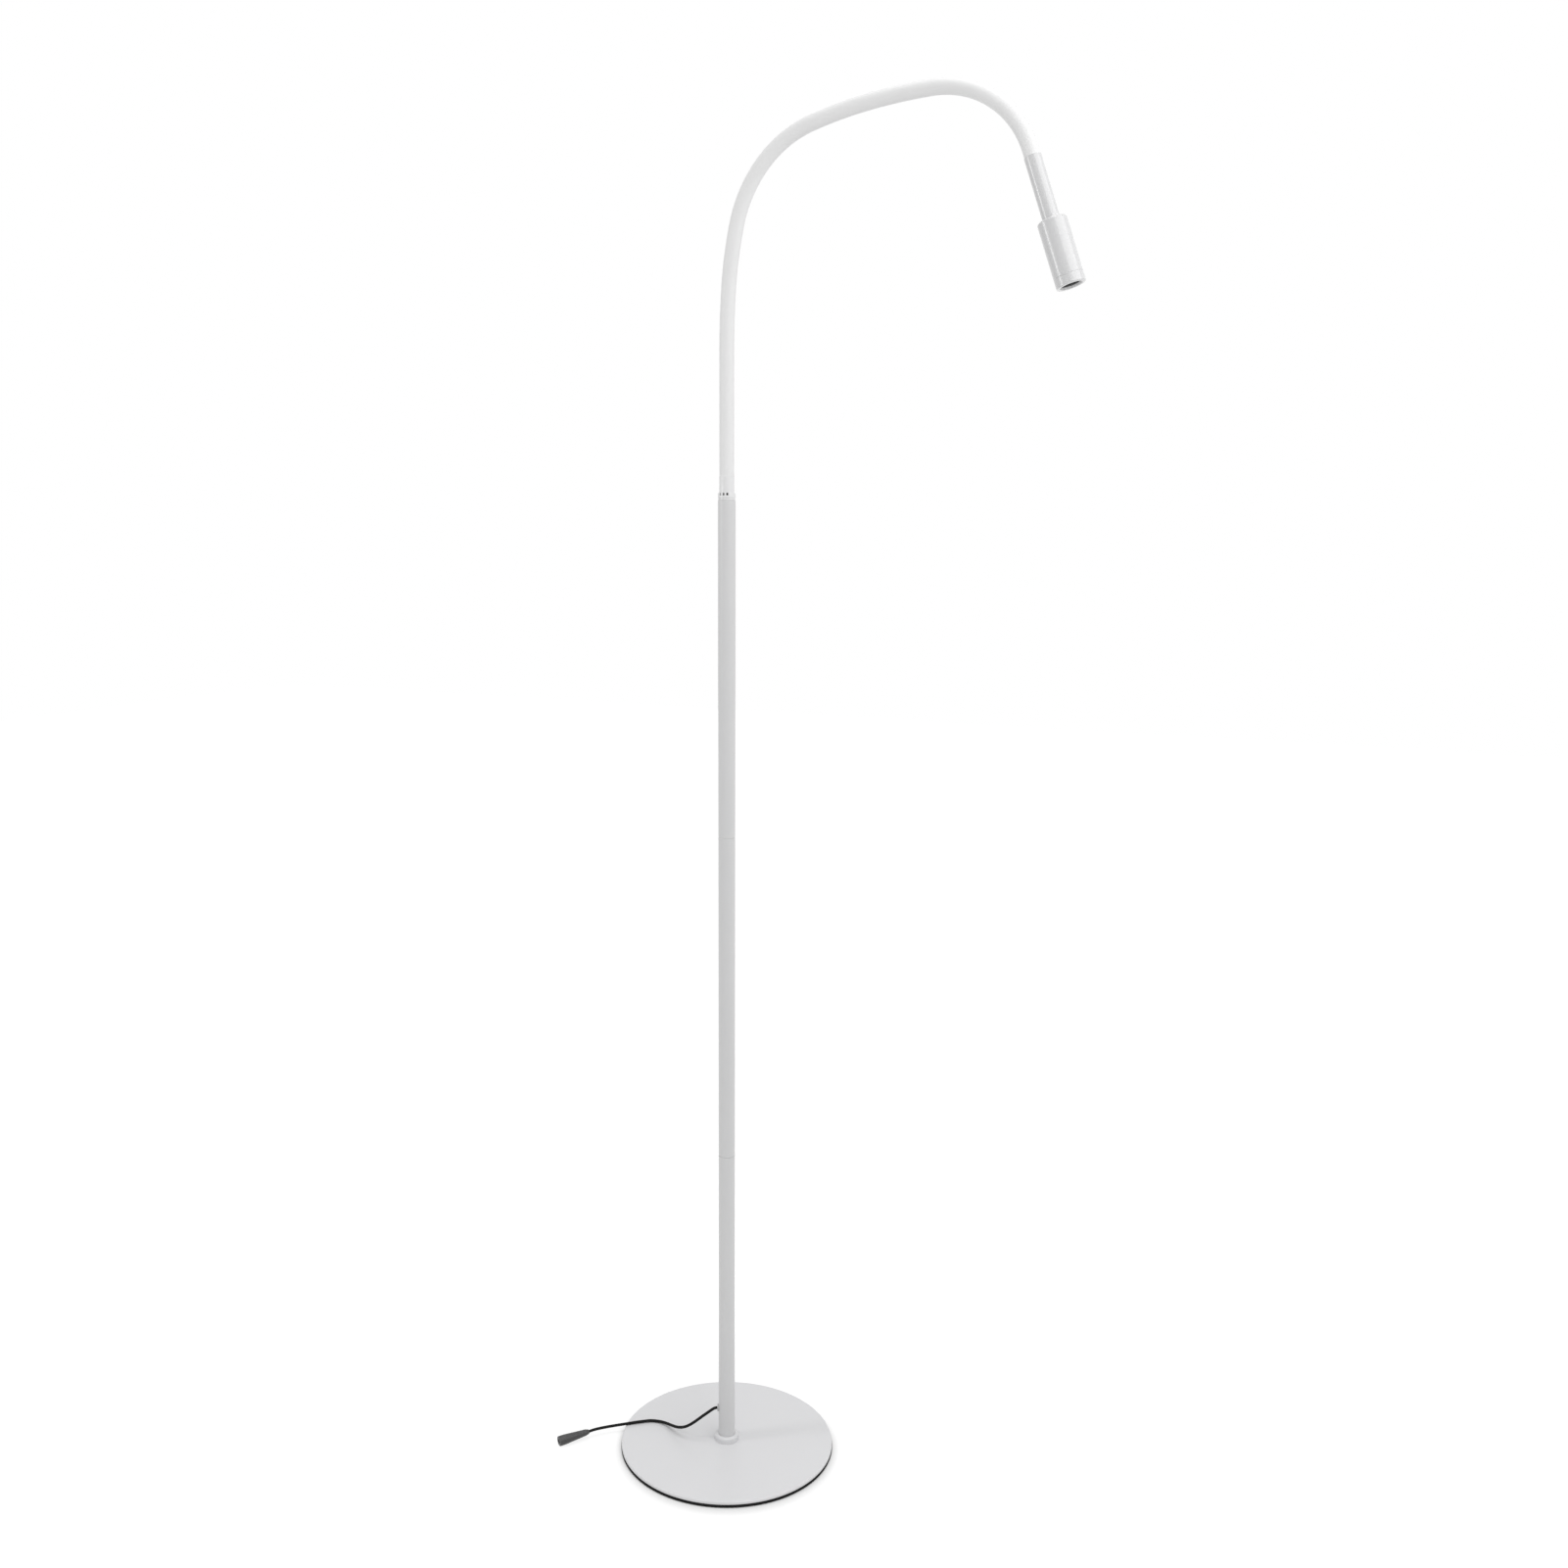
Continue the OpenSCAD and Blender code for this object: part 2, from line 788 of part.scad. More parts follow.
module connector_shell() {
    r = connector_d / 2;
    color("#4a4a4c")
        at_cord_end()
            difference() {
                rotate_extrude()
                    polygon([
                        [0, 0], [boot_d / 2, 0], [boot_wide_d / 2, boot_len],
                        [r, connector_len - connector_mouth_len], [r, connector_len - connector_edge],
                        [r - connector_edge, connector_len], [0, connector_len]
                    ]);
                translate([0, 0, connector_len - socket_depth])
                    cylinder(d = socket_d, h = socket_depth + over);
            }
}

module connector_pin() {
    color("#c9c4b4")
        at_cord_end()
            translate([0, 0, connector_len - socket_depth])
                cylinder(d = pin_d, h = socket_depth - over);
}

base_pad();
base_plate();
base_collar();
base_screw();
foot_insert();
pole_lower();
pole_middle();
pole_upper();
lower_coupler();
upper_coupler();
top_socket();
lock_ring();
ring_washer();
lower_ferrule();
pole_lead();
cord_grommet();
supply_cord();
connector_shell();
connector_pin();
for (k = [1:links]) {
    neck_sleeve(k - 1);
    neck_core(k - 1);
    neck_lead(k - 1);
}
upper_ferrule();
head_lead();
head_housing();
ferrule_nut();
heat_sink();
led_board();
led_emitter();
reflector();
lens();
lens_seal();
front_bezel();
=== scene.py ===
import json
import math

import bpy
from mathutils import Matrix, Vector


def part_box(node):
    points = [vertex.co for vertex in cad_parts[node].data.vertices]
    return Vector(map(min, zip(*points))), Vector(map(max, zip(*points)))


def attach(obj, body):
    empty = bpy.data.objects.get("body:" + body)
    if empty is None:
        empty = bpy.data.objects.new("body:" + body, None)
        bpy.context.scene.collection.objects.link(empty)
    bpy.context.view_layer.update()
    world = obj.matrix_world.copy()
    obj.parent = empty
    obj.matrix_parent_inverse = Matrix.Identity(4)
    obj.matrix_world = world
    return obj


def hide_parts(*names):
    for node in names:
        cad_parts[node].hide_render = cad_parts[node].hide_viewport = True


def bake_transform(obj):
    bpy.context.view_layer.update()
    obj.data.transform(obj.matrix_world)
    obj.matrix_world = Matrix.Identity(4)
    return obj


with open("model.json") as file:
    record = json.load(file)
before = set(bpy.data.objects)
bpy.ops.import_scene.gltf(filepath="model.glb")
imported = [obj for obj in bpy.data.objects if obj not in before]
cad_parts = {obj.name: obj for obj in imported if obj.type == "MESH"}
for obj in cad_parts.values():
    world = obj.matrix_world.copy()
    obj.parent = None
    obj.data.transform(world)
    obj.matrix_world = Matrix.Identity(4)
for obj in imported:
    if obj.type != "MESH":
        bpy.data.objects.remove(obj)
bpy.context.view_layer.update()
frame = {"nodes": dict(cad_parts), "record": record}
nodes = frame["nodes"]
print("frame loaded,", len(nodes), "nodes")

# camera, at the photograph's viewing angle
viewpoint = {
    "lens": 35.98,  # mm
    "sensor": 36,
    "distance": 1.786,  # level, from the pole
    "height": 1.123,
    "heading": 26.7,  # degrees, from looking along +Y
    "pitch": 9.35,  # degrees below level
    "shiftX": 0.0365,
}


def addCamera(view):
    heading = math.radians(view["heading"])
    away = view["distance"]
    place = (away * math.sin(heading), -away * math.cos(heading), view["height"])
    bpy.ops.object.camera_add(location=place, rotation=(math.radians(90 - view["pitch"]), 0, heading))
    camera = bpy.context.object
    camera.name = "camera"
    camera.data.lens = view["lens"]
    camera.data.sensor_width = view["sensor"]
    camera.data.shift_x = view["shiftX"]
    bpy.context.scene.camera = camera


addCamera(viewpoint)
print("camera set")


# one socket of a material: sums of wires add Math nodes
class Wire:
    def __init__(self, tree, socket):
        self.tree = tree
        self.socket = socket

    # any node: its settings come first, then the values or wires of its sockets
    @staticmethod
    def node(tree, kind, settings=None, values=None, out=0):
        made = tree.nodes.new(kind)
        for key, value in (settings or {}).items():
            setattr(made, key, value)
        for key, value in (values or {}).items():
            if isinstance(value, Wire):
                tree.links.new(value.socket, made.inputs[key])
            else:
                made.inputs[key].default_value = value
        return Wire(tree, made.outputs[out]) if made.outputs else None

    def sums(self, operation, first, second):
        return Wire.node(self.tree, "ShaderNodeMath", {"operation": operation}, {0: first, 1: second})

    def __add__(self, other):
        return self.sums("ADD", self, other)

    def __radd__(self, other):
        return self.sums("ADD", other, self)

    def __sub__(self, other):
        return self.sums("SUBTRACT", self, other)

    def __rsub__(self, other):
        return self.sums("SUBTRACT", other, self)

    def __mul__(self, other):
        return self.sums("MULTIPLY", self, other)


def newMaterial(name):
    material = bpy.data.materials.new(name)
    material.use_nodes = True
    material.node_tree.nodes.clear()
    return material


def surface(material, values):
    tree = material.node_tree
    shader = Wire.node(tree, "ShaderNodeBsdfPrincipled", {}, values)
    Wire.node(tree, "ShaderNodeOutputMaterial", {}, {"Surface": shader})
    return material


# octaves of noise
octaves = {"soft": 2.0, "medium": 3.0, "crisp": 4.0, "sharp": 5.0}
noiseMean = 0.5


def grain(tree, scale, detail, stretch=(1, 1, 1)):
    place = Wire.node(tree, "ShaderNodeTexCoord", {}, {}, "Object")
    drawn = Wire.node(tree, "ShaderNodeMapping", {}, {"Vector": place, "Scale": stretch})
    values = {"Vector": drawn, "Scale": scale, "Detail": octaves[detail]}
    return Wire.node(tree, "ShaderNodeTexNoise", {}, values, "Fac")


def tint(tree, mask, low, high):
    return Wire.node(tree, "ShaderNodeMix", {"data_type": "RGBA"}, {0: mask, 6: low, 7: high}, 2)


def stretchRange(tree, value, low, high):
    settings = {"interpolation_type": "SMOOTHSTEP", "clamp": True}
    values = {"Value": value, "From Min": low, "From Max": high}
    return Wire.node(tree, "ShaderNodeMapRange", settings, values)


def raised(tree, height, distance):
    return Wire.node(tree, "ShaderNodeBump", {}, {"Height": height, "Strength": 1.0, "Distance": distance})


# powder coat and lacquer: an even tone, slow clouds of sheen, and fine peel
def paintFinish(name, look):
    material = newMaterial(name)
    tree = material.node_tree
    cloud = grain(tree, look["cloudScale"], "medium")
    peel = grain(tree, look["peelScale"], "soft")
    dust = stretchRange(tree, grain(tree, look["dustScale"], "crisp"), *look["dustRange"])
    tone = tint(tree, cloud, look["shade"], look["colour"])
    return surface(material, {
        "Base Color": tint(tree, dust * look["dust"], tone, look["dustColour"]),
        "Roughness": look["roughness"] + (cloud - noiseMean) * look["sheenSpread"] + dust * look["dust"],
        "Coat Weight": look["coat"],
        "Coat Roughness": look["coatRoughness"],
        "Normal": raised(tree, peel, look["peelDepth"]),
    })


# soft plastic sleeve: an even tone, faint scuffs round it and a fine skin
def sleeveFinish(name, look):
    material = newMaterial(name)
    tree = material.node_tree
    cloud = grain(tree, look["cloudScale"], "soft")
    rubbed = grain(tree, look["scuffScale"], "sharp", look["scuffStretch"])
    scuff = stretchRange(tree, rubbed, *look["scuffRange"])
    skin = grain(tree, look["skinScale"], "soft")
    return surface(material, {
        "Base Color": tint(tree, cloud, look["shade"], look["colour"]),
        "Roughness": look["roughness"] + (cloud - noiseMean) * look["sheenSpread"] + scuff * look["scuff"],
        "Specular IOR Level": look["shine"],
        "Normal": raised(tree, skin, look["skinDepth"]),
    })


# closed-cell foam: round pores of two sizes
def foamFinish(name, look):
    material = newMaterial(name)
    tree = material.node_tree
    place = Wire.node(tree, "ShaderNodeTexCoord", {}, {}, "Object")
    values = {"Vector": place, "Scale": look["cellScale"]}
    cell = Wire.node(tree, "ShaderNodeTexVoronoi", {}, values, "Distance")
    fine = grain(tree, look["fineScale"], "medium")
    wall = stretchRange(tree, cell, *look["wallRange"])
    return surface(material, {
        "Base Color": tint(tree, wall * fine, look["shade"], look["colour"]),
        "Roughness": look["roughness"] - wall * look["sheenSpread"],
        "Specular IOR Level": look["shine"],
        "Normal": raised(tree, wall + fine, look["cellDepth"]),
    })


# moulded plastic and rubber: a fine spark-eroded grain
def mouldedFinish(name, look):
    material = newMaterial(name)
    tree = material.node_tree
    cloud = grain(tree, look["cloudScale"], "soft")
    spark = grain(tree, look["sparkScale"], "medium")
    return surface(material, {
        "Base Color": tint(tree, cloud, look["shade"], look["colour"]),
        "Roughness": look["roughness"] + (spark - noiseMean) * look["sheenSpread"],
        "Specular IOR Level": look["shine"],
        "Normal": raised(tree, spark, look["sparkDepth"]),
    })


# bare metal: turning lines across the axis, and a dull film
def metalFinish(name, look):
    material = newMaterial(name)
    tree = material.node_tree
    line = grain(tree, look["lineScale"], "medium", look["lineStretch"])
    film = grain(tree, look["filmScale"], "medium")
    return surface(material, {
        "Base Color": tint(tree, film, look["shade"], look["colour"]),
        "Metallic": 1.0,
        "Roughness": look["roughness"] + (line - noiseMean) * look["sheenSpread"],
        "Normal": raised(tree, line, look["lineDepth"]),
    })


# clear lens, with a trace of dust
def glassFinish(name, look):
    material = newMaterial(name)
    tree = material.node_tree
    dust = stretchRange(tree, grain(tree, look["dustScale"], "crisp"), *look["dustRange"])
    return surface(material, {
        "Base Color": look["colour"],
        "Roughness": look["roughness"] + dust * look["dust"],
        "Transmission Weight": 1.0,
        "IOR": look["index"],
    })


def grey(level, blue=0.0):
    return (level, level, level + blue, 1.0)


whiteCoat = {
    "colour": grey(0.7, 0.003), "shade": grey(0.67, 0.003), "roughness": 0.42, "sheenSpread": 0.12,
    "coat": 0.25, "coatRoughness": 0.18, "cloudScale": 14.0, "peelScale": 900.0, "peelDepth": 0.000006,
    "dust": 0.06, "dustScale": 55.0, "dustRange": (0.66, 0.8), "dustColour": grey(0.68),
}
whiteSkin = {
    "colour": grey(0.86), "shade": grey(0.83), "roughness": 0.44, "sheenSpread": 0.1,
    "shine": 0.35, "cloudScale": 22.0, "skinScale": 700.0, "skinDepth": 0.000003,
    "scuff": 0.12, "scuffScale": 90.0, "scuffStretch": (1, 1, 4), "scuffRange": (0.6, 0.78),
}
blackFoam = {
    "colour": grey(0.02), "shade": grey(0.008), "roughness": 0.85, "sheenSpread": 0.15, "shine": 0.1,
    "cellScale": 900.0, "fineScale": 2500.0, "wallRange": (0.15, 0.55), "cellDepth": 0.00015,
}
darkMoulding = {
    "colour": grey(0.07, 0.002), "shade": grey(0.05, 0.002), "roughness": 0.42, "sheenSpread": 0.2,
    "shine": 0.4, "cloudScale": 90.0, "sparkScale": 2600.0, "sparkDepth": 0.00004,
}
bareSteel = {
    "colour": grey(0.6), "shade": grey(0.5), "roughness": 0.36, "sheenSpread": 0.2,
    "lineScale": 60.0, "lineStretch": (1, 1, 30), "lineDepth": 0.00002, "filmScale": 40.0,
}
clearGlass = {
    "colour": grey(0.95, 0.01), "roughness": 0.03, "index": 1.5,
    "dust": 0.15, "dustScale": 300.0, "dustRange": (0.6, 0.8),
}
alloyCoat = {
    **whiteCoat, "colour": grey(0.83, 0.003), "shade": grey(0.8, 0.003), "coat": 0.4, "roughness": 0.38,
    "peelDepth": 0.000003,
}
# painted shade: a darker copy of the alloy coat for the head's pieces, darker than the lock ring's coat of
# the same alloy
headCoatPaintedShade = {
    **alloyCoat, "colour": grey(0.66, 0.005), "shade": grey(0.63, 0.006), "coat": 1.0, "coatRoughness": 0.2,
}
baseCoat = {**whiteCoat, "colour": grey(0.755, 0.012), "shade": grey(0.725, 0.012), "coat": 0.1, "dust": 0.1}
cordRubber = {**darkMoulding, "colour": grey(0.012), "shade": grey(0.007), "roughness": 0.6, "shine": 0.12}
paleMoulding = {**darkMoulding, "colour": grey(0.5), "shade": grey(0.45)}
boardMask = {**darkMoulding, "colour": grey(0.78), "shade": grey(0.74)}
yellowResin = {
    **darkMoulding, "colour": (0.7, 0.62, 0.2, 1), "shade": (0.66, 0.56, 0.16, 1), "roughness": 0.2,
}
# painted shade: the reflector behind the lens is dark, so that the lamp's mouth shows a dark slit
reflectorPaintedShade = {**darkMoulding, "colour": grey(0.09), "shade": grey(0.07)}
sealRubber = {**cordRubber, "colour": grey(0.03), "shade": grey(0.02)}
# painted light: a grey copy of the black seal rubber, lightened so that the shade inside the lamp's mouth is
# less dark
sealPaintedLight = {**cordRubber, "colour": grey(0.18), "shade": grey(0.15)}
nickel = {**bareSteel, "colour": grey(0.75), "roughness": 0.2}
sinkAlloy = {**bareSteel, "colour": grey(0.75), "shade": grey(0.68)}

finishes = {
    "white_steel": paintFinish("poleCoat", whiteCoat),
    "white_alloy": paintFinish("alloyCoat", alloyCoat),
    "white_sleeve": sleeveFinish("sleeveSkin", whiteSkin),
    "black_foam": foamFinish("padFoam", blackFoam),
    "plain_steel": metalFinish("bareSteel", bareSteel),
    "black_lead": mouldedFinish("leadSheath", cordRubber),
    "black_cord": mouldedFinish("cordRubber", cordRubber),
    "dark_moulding": mouldedFinish("connectorMoulding", darkMoulding),
    "contact": metalFinish("contactNickel", nickel),
    "grey_grommet": mouldedFinish("grommetPlastic", paleMoulding),
    "bare_alloy": metalFinish("sinkAlloy", sinkAlloy),
    "white_board": mouldedFinish("boardMask", boardMask),
    "led_resin": mouldedFinish("ledResin", yellowResin),
    "black_reflector": mouldedFinish("reflectorPaintedShade", reflectorPaintedShade),
    "clear_glass": glassFinish("lensGlass", clearGlass),
    "black_seal": mouldedFinish("sealRubber", sealRubber),
}
basePaint = paintFinish("baseCoat", baseCoat)
# painted shade: the darker copy of the alloy coat, for the upper ferrule, housing and bezel
headPaintPaintedShade = paintFinish("headCoatPaintedShade", headCoatPaintedShade)
lensSealPaintedLight = mouldedFinish("lensSealPaintedLight", sealPaintedLight)

for part in frame["record"]["subparts"]:
    node = nodes[part["node"]]
    node.data.materials.clear()
    node.data.materials.append(finishes[part["material_slot"]])
# painted light: the lens seal gets the lightened grey copy in place of the black seal rubber
nodes["lens_seal"].data.materials[0] = lensSealPaintedLight
print("finishes made")


def clearSelection():
    if bpy.context.object and bpy.context.object.mode != "OBJECT":
        bpy.ops.object.mode_set(mode="OBJECT")
    bpy.ops.object.select_all(action="DESELECT")


def takeUp(piece):
    clearSelection()
    piece.select_set(True)
    bpy.context.view_layer.objects.active = piece


def newPiece(name, data):
    piece = bpy.data.objects.new(name, data)
    bpy.context.scene.collection.objects.link(piece)
    takeUp(piece)
    return piece


# an outline's corners as (radius, height, fillet), with each fillet drawn as an arc
def roundedOutline(corners, arcSteps=6):
    outline = []
    for i, (radius, height, fillet) in enumerate(corners):
        corner = Vector((radius, height))
        if not fillet:
            outline.append(corner)
            continue
        back = (Vector(corners[i - 1][:2]) - corner).normalized()
        ahead = (Vector(corners[(i + 1) % len(corners)][:2]) - corner).normalized()
        half = back.angle(ahead) / 2
        middle = corner + (back + ahead).normalized() * fillet / math.sin(half)
        first = corner + back * fillet / math.tan(half) - middle
        last = corner + ahead * fillet / math.tan(half) - middle
        outline += [middle + first.slerp(last, step / arcSteps) * fillet for step in range(arcSteps + 1)]
    return outline


# metres: the plane that becomes an outline's first vertex, and how near two vertices are one
seedSize = 0.001
weldDistance = 0.000002


# one vertex, extruded from point to point of an outline in the XZ plane
def drawOutline(name, points):
    clearSelection()
    bpy.ops.mesh.primitive_plane_add(size=seedSize, location=(points[0].x, 0, points[0].y))
    piece = bpy.context.object
    piece.name = name
    piece.data.name = name
    bpy.ops.object.transform_apply(location=True, rotation=False, scale=False)
    bpy.ops.object.mode_set(mode="EDIT")
    bpy.ops.mesh.merge(type="CENTER")
    for here, there in zip(points, points[1:]):
        step = (there.x - here.x, 0, there.y - here.y)
        bpy.ops.mesh.extrude_region_move(TRANSFORM_OT_translate={"value": step})
    return piece


# a turned piece: the outline is spun round Z, and then set in its place
def turnedPiece(name, corners, place=None, steps=96):
    outline = roundedOutline(corners)
    if corners[0][0] > 0:
        outline.append(outline[0])
    piece = drawOutline(name, outline)
    bpy.ops.mesh.select_all(action="SELECT")
    bpy.ops.mesh.spin(steps=steps, angle=math.tau, center=(0, 0, 0), axis=(0, 0, 1))
    bpy.ops.mesh.select_all(action="SELECT")
    bpy.ops.mesh.remove_doubles(threshold=weldDistance)
    bpy.ops.mesh.normals_make_consistent(inside=False)
    bpy.ops.object.mode_set(mode="OBJECT")
    if place:
        piece.matrix_world = place
        bpy.ops.object.transform_apply(location=True, rotation=True, scale=True)
    return piece


def applied(piece, kind, settings):
    takeUp(piece)
    modifier = piece.modifiers.new(kind, kind)
    for key, value in settings.items():
        setattr(modifier, key, value)
    bpy.ops.object.modifier_apply(modifier=modifier.name)


def cutAway(piece, cutter):
    applied(piece, "BOOLEAN", {"operation": "DIFFERENCE", "solver": "EXACT", "object": cutter})
    bpy.data.objects.remove(cutter)


def smooth(piece, angle=35):
    takeUp(piece)
    bpy.ops.object.shade_smooth_by_angle(angle=math.radians(angle))
    applied(piece, "WEIGHTED_NORMAL", {"keep_sharp": True})


def dress(piece, slot, material=None):
    piece.data.materials.clear()
    piece.data.materials.append(material or finishes[slot])


def standFor(piece, body, slot, *replaced, material=None):
    dress(piece, slot, material)
    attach(piece, body)
    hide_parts(*replaced)


# supply cord, on the route that its solid follows: out from the pole, sideways, up
cord = {
    "turn": 207,  # degrees from +X
    "diameter": 0.0035,
    "length": 0.19,
    "roundSteps": 6,
    "stretchSteps": 6,
    "route": [
        (0.0116, 0, 0.048), (0.015, 0, 0.0472), (0.019, 0.0005, 0.045), (0.024, 0.001, 0.0416),
        (0.030, 0.0015, 0.0374), (0.036, 0.002, 0.033), (0.042, 0.002, 0.0286), (0.048, 0.001, 0.0244),
        (0.0535, -0.0015, 0.021), (0.0585, -0.0055, 0.0182), (0.063, -0.0105, 0.0158),
        (0.067, -0.016, 0.0138), (0.071, -0.0215, 0.012), (0.0755, -0.027, 0.0105),
        (0.081, -0.0315, 0.0095), (0.088, -0.0345, 0.009), (0.096, -0.0355, 0.009), (0.105, -0.034, 0.009),
        (0.114, -0.032, 0.009), (0.123, -0.0295, 0.009), (0.132, -0.0272, 0.0089), (0.141, -0.025, 0.0087),
        (0.150, -0.0226, 0.0085), (0.158, -0.0202, 0.00825), (0.1655, -0.0174, 0.008),
        (0.1723, -0.0138, 0.0077),
    ],
}
turnedOut = Matrix.Rotation(math.radians(cord["turn"]), 3, "Z")
cordPoints = [turnedOut @ Vector(point) for point in cord["route"]]


def addCord(points, sizes):
    shape = bpy.data.curves.new("supplyCord", "CURVE")
    shape.dimensions = "3D"
    shape.bevel_depth = sizes["diameter"] / 2
    shape.bevel_resolution = sizes["roundSteps"]
    shape.resolution_u = sizes["stretchSteps"]
    shape.use_fill_caps = True
    spline = shape.splines.new("BEZIER")
    spline.bezier_points.add(len(points) - 1)
    for knot, point in zip(spline.bezier_points, points):
        knot.co = point
        knot.handle_left_type = "AUTO"
        knot.handle_right_type = "AUTO"
    return newPiece("supplyCord", shape)


# connector on the cord's end, turned along the cord's last stretch
connector = {
    "length": 0.040, "mouthLength": 0.008, "radius": 0.006, "edge": 0.0008, "taperRound": 0.003,
    "bootLength": 0.004, "bootRadius": 0.0026, "bootEdge": 0.0002, "bootWide": 0.0038, "bootRound": 0.001,
    "socketRadius": 0.0028, "socketDepth": 0.010, "socketEdge": 0.0003, "steps": 64,
    "grooves": (0.008, 0.0115, 0.015), "grooveDepth": 0.0003, "grooveWidth": 0.001,
    "grooveEdge": 0.0001, "grooveRound": 0.0002,
}


def addConnector(sizes, end, direction):
    radius = sizes["radius"]
    taper = sizes["length"] - sizes["mouthLength"]
    socketFloor = sizes["length"] - sizes["socketDepth"]
    slope = (radius - sizes["bootWide"]) / (taper - sizes["bootLength"])
    corners = [
        (0, 0, 0), (sizes["bootRadius"], 0, sizes["bootEdge"]),
        (sizes["bootWide"], sizes["bootLength"], sizes["bootRound"]),
    ]
    for groove in sizes["grooves"]:
        out = sizes["bootWide"] + slope * (groove - sizes["bootLength"])
        corners.append((out, groove - sizes["grooveWidth"] / 2, sizes["grooveEdge"]))
        corners.append((out - sizes["grooveDepth"], groove, sizes["grooveRound"]))
        corners.append((out, groove + sizes["grooveWidth"] / 2, sizes["grooveEdge"]))
    corners += [
        (radius, taper, sizes["taperRound"]), (radius, sizes["length"], sizes["edge"]),
        (sizes["socketRadius"], sizes["length"], sizes["socketEdge"]),
        (sizes["socketRadius"], socketFloor, 0), (0, socketFloor, 0),
    ]
    place = Matrix.Translation(end) @ direction.to_track_quat("Z", "Y").to_matrix().to_4x4()
    shell = turnedPiece("connectorShell", corners, place, sizes["steps"])
    smooth(shell)
    standFor(shell, "stand", "dark_moulding", "connector_shell")
    return shell


flex = addCord(cordPoints, cord)
standFor(flex, "stand", "black_cord", "supply_cord")
connectorShell = addConnector(connector, cordPoints[-1], cordPoints[-1] - cordPoints[-2])
print("cord and connector laid")

# foam pad under the plate, pressed out past its rim
pad = {"bulge": 0.0009, "edge": 0.0008, "steps": 256}


def addPad(sizes):
    low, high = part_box("base_pad")
    rim = high.x + sizes["bulge"]
    corners = [(0, low.z, 0), (rim, low.z, sizes["edge"]), (rim, high.z, sizes["edge"]), (0, high.z, 0)]
    piece = turnedPiece("basePad", corners, None, sizes["steps"])
    smooth(piece)
    standFor(piece, "stand", "black_foam", "base_pad")


addPad(pad)

# base plate: a thin disc with a rolled upper edge and a countersunk hole
plate = {
    "edge": 0.0015, "underEdge": 0.0003, "steps": 256,
    "hole": 0.0031, "sink": 0.0061, "sinkDepth": 0.0026,
}


def addPlate(sizes):
    low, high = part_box("base_plate")
    corners = [
        (sizes["sink"], low.z, 0), (high.x, low.z, sizes["underEdge"]), (high.x, high.z, sizes["edge"]),
        (sizes["hole"], high.z, 0), (sizes["hole"], low.z + sizes["sinkDepth"], 0),
    ]
    piece = turnedPiece("basePlate", corners, None, sizes["steps"])
    smooth(piece)
    standFor(piece, "stand", "white_steel", "base_plate", material=basePaint)


addPlate(plate)

# collar round the pole's foot
collar = {"bore": 0.0101, "crown": 0.0026, "foot": 0.0002, "mouth": 0.0004}


def addCollar(sizes):
    low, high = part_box("base_collar")
    corners = [
        (sizes["bore"], low.z, 0), (high.x, low.z, sizes["foot"]), (high.x, high.z, sizes["crown"]),
        (sizes["bore"], high.z, sizes["mouth"]),
    ]
    piece = turnedPiece("baseCollar", corners)
    smooth(piece)
    standFor(piece, "stand", "white_steel", "base_collar", material=basePaint)


addCollar(collar)
print("base made")

# pole: three tubes with softened ends; the lower one has the cord's hole
pole = {"bore": 0.0088, "edge": 0.0004, "steps": 96, "cordHole": 0.00305, "holeSteps": 48}


def addTube(name, node, sizes):
    low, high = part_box(node)
    corners = [
        (sizes["bore"], low.z, 0), (high.x, low.z, sizes["edge"]), (high.x, high.z, sizes["edge"]),
        (sizes["bore"], high.z, 0),
    ]
    return turnedPiece(name, corners, None, sizes["steps"])


def drillCordHole(tube, sizes):
    low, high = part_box("pole_lower")
    clearSelection()
    way = Vector((math.cos(math.radians(cord["turn"])), math.sin(math.radians(cord["turn"])), 0))
    middle = Vector((0, 0, cordPoints[0].z)) + way * high.x
    turn = way.to_track_quat("Z", "Y").to_euler()
    bpy.ops.mesh.primitive_cylinder_add(
        vertices=sizes["holeSteps"], radius=sizes["cordHole"], depth=high.x,
        location=middle, rotation=turn,
    )
    cutAway(tube, bpy.context.object)


for name, node in (("poleLower", "pole_lower"), ("poleMiddle", "pole_middle"), ("poleUpper", "pole_upper")):
    tube = addTube(name, node, pole)
    if node == "pole_lower":
        drillCordHole(tube, pole)
    smooth(tube)
    standFor(tube, "stand", "white_steel", node)
print("pole made")

# top socket: a flange between pole and lock ring, on a plug in the tube
topSocket = {
    "flange": 0.0024, "edge": 0.0005, "plug": 0.00865,
    "studBore": 0.0056, "studDepth": 0.017, "leadBore": 0.0033,
}


def addTopSocket(sizes):
    low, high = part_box("top_socket")
    foot = high.z - sizes["flange"]
    studFloor = high.z - sizes["studDepth"]
    corners = [
        (sizes["leadBore"], low.z, 0), (sizes["plug"], low.z, 0), (sizes["plug"], foot, 0),
        (high.x, foot, sizes["edge"]), (high.x, high.z, sizes["edge"]), (sizes["studBore"], high.z, 0),
        (sizes["studBore"], studFloor, 0), (sizes["leadBore"], studFloor, 0),
    ]
    piece = turnedPiece("topSocket", corners)
    smooth(piece)
    standFor(piece, "stand", "white_alloy", "top_socket")


addTopSocket(topSocket)

# lock ring: two groups of notches in its upper edge, through to the washer in its pocket
lockRing = {
    "radius": 0.010, "bore": 0.0056, "pocket": 0.0084, "pocketDepth": 0.0032,
    "edge": 0.0003, "underEdge": 0.0005,
    "notchTurns": (-111, -85.5, -60, 69, 94.5, 120),  # degrees
    "notchWidth": 0.0022, "notchHeight": 0.0028, "notchEdge": 0.00012, "notchSteps": 2,
}


